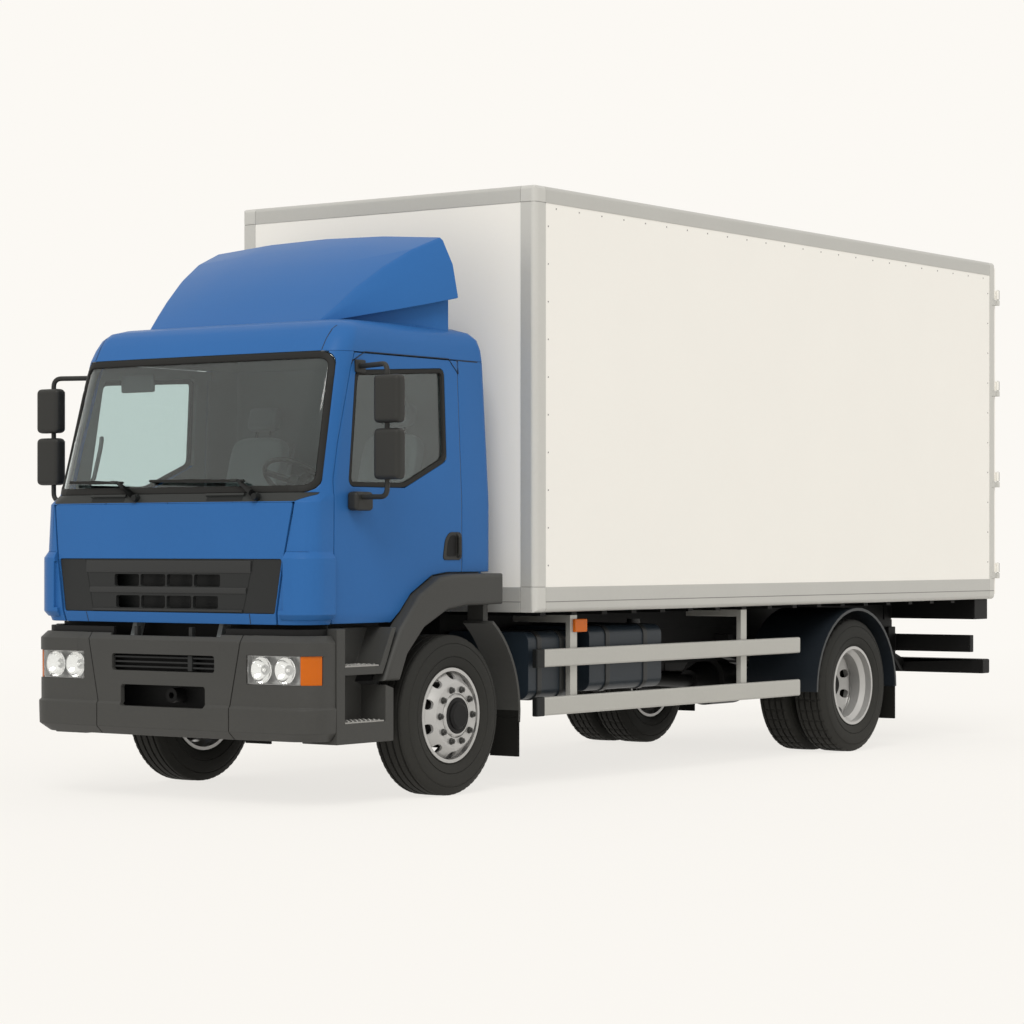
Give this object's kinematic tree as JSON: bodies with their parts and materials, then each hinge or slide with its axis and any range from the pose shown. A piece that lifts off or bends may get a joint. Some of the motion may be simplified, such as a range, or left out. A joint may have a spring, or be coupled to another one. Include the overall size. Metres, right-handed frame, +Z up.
{
  "type": "box truck",
  "caption": "Cab-over box truck on a ladder frame: tilting cab with doors and a lifting front lid, steered front wheels, twin rear wheels and a box body with swinging rear doors.",
  "frame": {"origin": "on the ground under the centre of the bounding box", "axes": "+Z up, +Y towards the rear doors, +X to the vehicle's left; the front faces -Y"},
  "size_m": [2.9956, 8.82, 3.905],
  "materials": {
    "frame_black": "satin black paint",
    "engine_iron": "dull cast grey",
    "shaft_steel": "dull steel",
    "spring_steel": "dark steel",
    "tank_blue": "dark blue paint",
    "box_plastic": "matt black",
    "silencer_steel": "dull aluminised steel",
    "guard_alloy": "satin anodised",
    "trim_grey": "grained dark grey",
    "lamp_clear": "clear over a bright reflector",
    "lamp_amber": "amber lens",
    "guard_black": "matt black",
    "wing_navy": "dark blue-black",
    "floor_ply": "phenolic-faced plywood",
    "panel_white": "white gloss",
    "edge_alloy": "satin anodised",
    "cab_blue": "blue gloss",
    "cab_lining": "dark grey lining",
    "glass": "tinted",
    "black_plastic": "black",
    "grille_grey": "dark grey",
    "seat_fabric": "woven grey",
    "rubber": "tyre rubber",
    "wheel_silver": "silver paint"
  },
  "bodies": {
    "chassis": {"chassis_frame": "frame_black", "engine": "engine_iron", "propshaft": "shaft_steel", "front_axle": "frame_black", "rear_axle": "frame_black", "leaf_springs": "spring_steel", "fuel_tanks": "tank_blue", "battery_box": "box_plastic", "silencer": "silencer_steel", "side_guards": "guard_alloy", "bumper_centre": "trim_grey", "bumper_corners": "trim_grey", "headlamps": "lamp_clear", "amber_lamps": "lamp_amber", "steps": "trim_grey", "front_mudguards": "guard_black", "rear_wings": "wing_navy", "underrun_bar": "frame_black", "rear_lamp_bar": "frame_black", "box_floor": "floor_ply", "box_front_wall": "panel_white", "box_sides": "panel_white", "box_roof": "panel_white", "box_edge_rails": "edge_alloy", "rear_frame": "edge_alloy", "wheel_arches": "trim_grey"},
    "box_door_left": {"rear_door_left": "panel_white"},
    "box_door_right": {"rear_door_right": "panel_white"},
    "cab": {"cab_floor": "cab_lining", "cab_back": "cab_blue", "cab_sides": "cab_blue", "cab_roof": "cab_blue", "cab_front": "cab_blue", "windscreen": "glass", "wiper_panel": "black_plastic", "air_deflector": "cab_blue", "seats": "seat_fabric", "dashboard": "cab_lining"},
    "lid": {"front_lid": "cab_blue", "grille": "grille_grey"},
    "cab_door_left": {"door_left": "cab_blue", "door_glass_left": "glass", "mirrors_left": "black_plastic"},
    "cab_door_right": {"door_right": "cab_blue", "door_glass_right": "glass", "mirrors_right": "black_plastic"},
    "steering": {"steering_wheel": "black_plastic"},
    "steer_left": {"knuckle_left": "frame_black"},
    "steer_right": {"knuckle_right": "frame_black"},
    "track_rod": {"tie_rod": "frame_black"},
    "wheel_front_left": {"front_tyre_left": "rubber", "front_wheel_left": "wheel_silver"},
    "wheel_front_right": {"front_tyre_right": "rubber", "front_wheel_right": "wheel_silver"},
    "wheel_rear_left": {"rear_tyres_left": "rubber", "rear_wheels_left": "wheel_silver"},
    "wheel_rear_right": {"rear_tyres_right": "rubber", "rear_wheels_right": "wheel_silver"}
  },
  "joints": [
    {"name": "cab_tilt", "type": "hinge", "parent": "chassis", "child": "cab", "pos_m": [0, -4.27, 0.96], "axis": [1, 0, 0], "range_deg": [0, 50]},
    {"name": "lid_lift", "type": "hinge", "parent": "cab", "child": "lid", "pos_m": [0, -4.348, 1.829], "axis": [-1, 0, 0], "range_deg": [0, 80]},
    {"name": "cab_door_left_swing", "type": "hinge", "parent": "cab", "child": "cab_door_left", "pos_m": [1.1, -4.079, 1.5], "axis": [0, 0, -1], "range_deg": [0, 75]},
    {"name": "cab_door_right_swing", "type": "hinge", "parent": "cab", "child": "cab_door_right", "pos_m": [-1.1, -4.079, 1.5], "axis": [0, 0, 1], "range_deg": [0, 75]},
    {"name": "box_door_left_swing", "type": "hinge", "parent": "chassis", "child": "box_door_left", "pos_m": [1.256, 4.377, 2.5], "axis": [0, 0, -1], "range_deg": [0, 255]},
    {"name": "box_door_right_swing", "type": "hinge", "parent": "chassis", "child": "box_door_right", "pos_m": [-1.256, 4.377, 2.5], "axis": [0, 0, 1], "range_deg": [0, 255]},
    {"name": "steer_left_turn", "type": "hinge", "parent": "chassis", "child": "steer_left", "pos_m": [0.88, -2.98, 0.505], "axis": [0, 0, 1], "range_deg": [-40, 40]},
    {"name": "steer_right_turn", "type": "hinge", "parent": "chassis", "child": "steer_right", "pos_m": [-0.88, -2.98, 0.505], "axis": [0, 0, 1], "range_deg": [-40, 40]},
    {"name": "track_rod_pivot", "type": "hinge", "parent": "steer_left", "child": "track_rod", "pos_m": [0.88, -2.78, 0.366], "axis": [0, 0, 1], "range_deg": [-40, 40]},
    {"name": "steering_turn", "type": "hinge", "parent": "cab", "child": "steering", "pos_m": [0.56, -3.78, 1.96], "axis": [0, 0.6222, 0.7828], "range_deg": [-640, 640]},
    {"name": "wheel_front_left_spin", "type": "hinge", "parent": "steer_left", "child": "wheel_front_left", "pos_m": [1.028, -2.98, 0.505], "axis": [1, 0, 0], "continuous": true},
    {"name": "wheel_front_right_spin", "type": "hinge", "parent": "steer_right", "child": "wheel_front_right", "pos_m": [-1.028, -2.98, 0.505], "axis": [1, 0, 0], "continuous": true},
    {"name": "wheel_rear_left_spin", "type": "hinge", "parent": "chassis", "child": "wheel_rear_left", "pos_m": [0.9215, 2.06, 0.505], "axis": [1, 0, 0], "continuous": true},
    {"name": "wheel_rear_right_spin", "type": "hinge", "parent": "chassis", "child": "wheel_rear_right", "pos_m": [-0.9215, 2.06, 0.505], "axis": [1, 0, 0], "continuous": true}
  ],
  "couplings": [
    {"joint": "steer_right_turn", "follows": "steer_left_turn", "ratio": 1},
    {"joint": "track_rod_pivot", "follows": "steer_left_turn", "ratio": -1},
    {"joint": "steering_turn", "follows": "steer_left_turn", "ratio": 16}
  ]
}
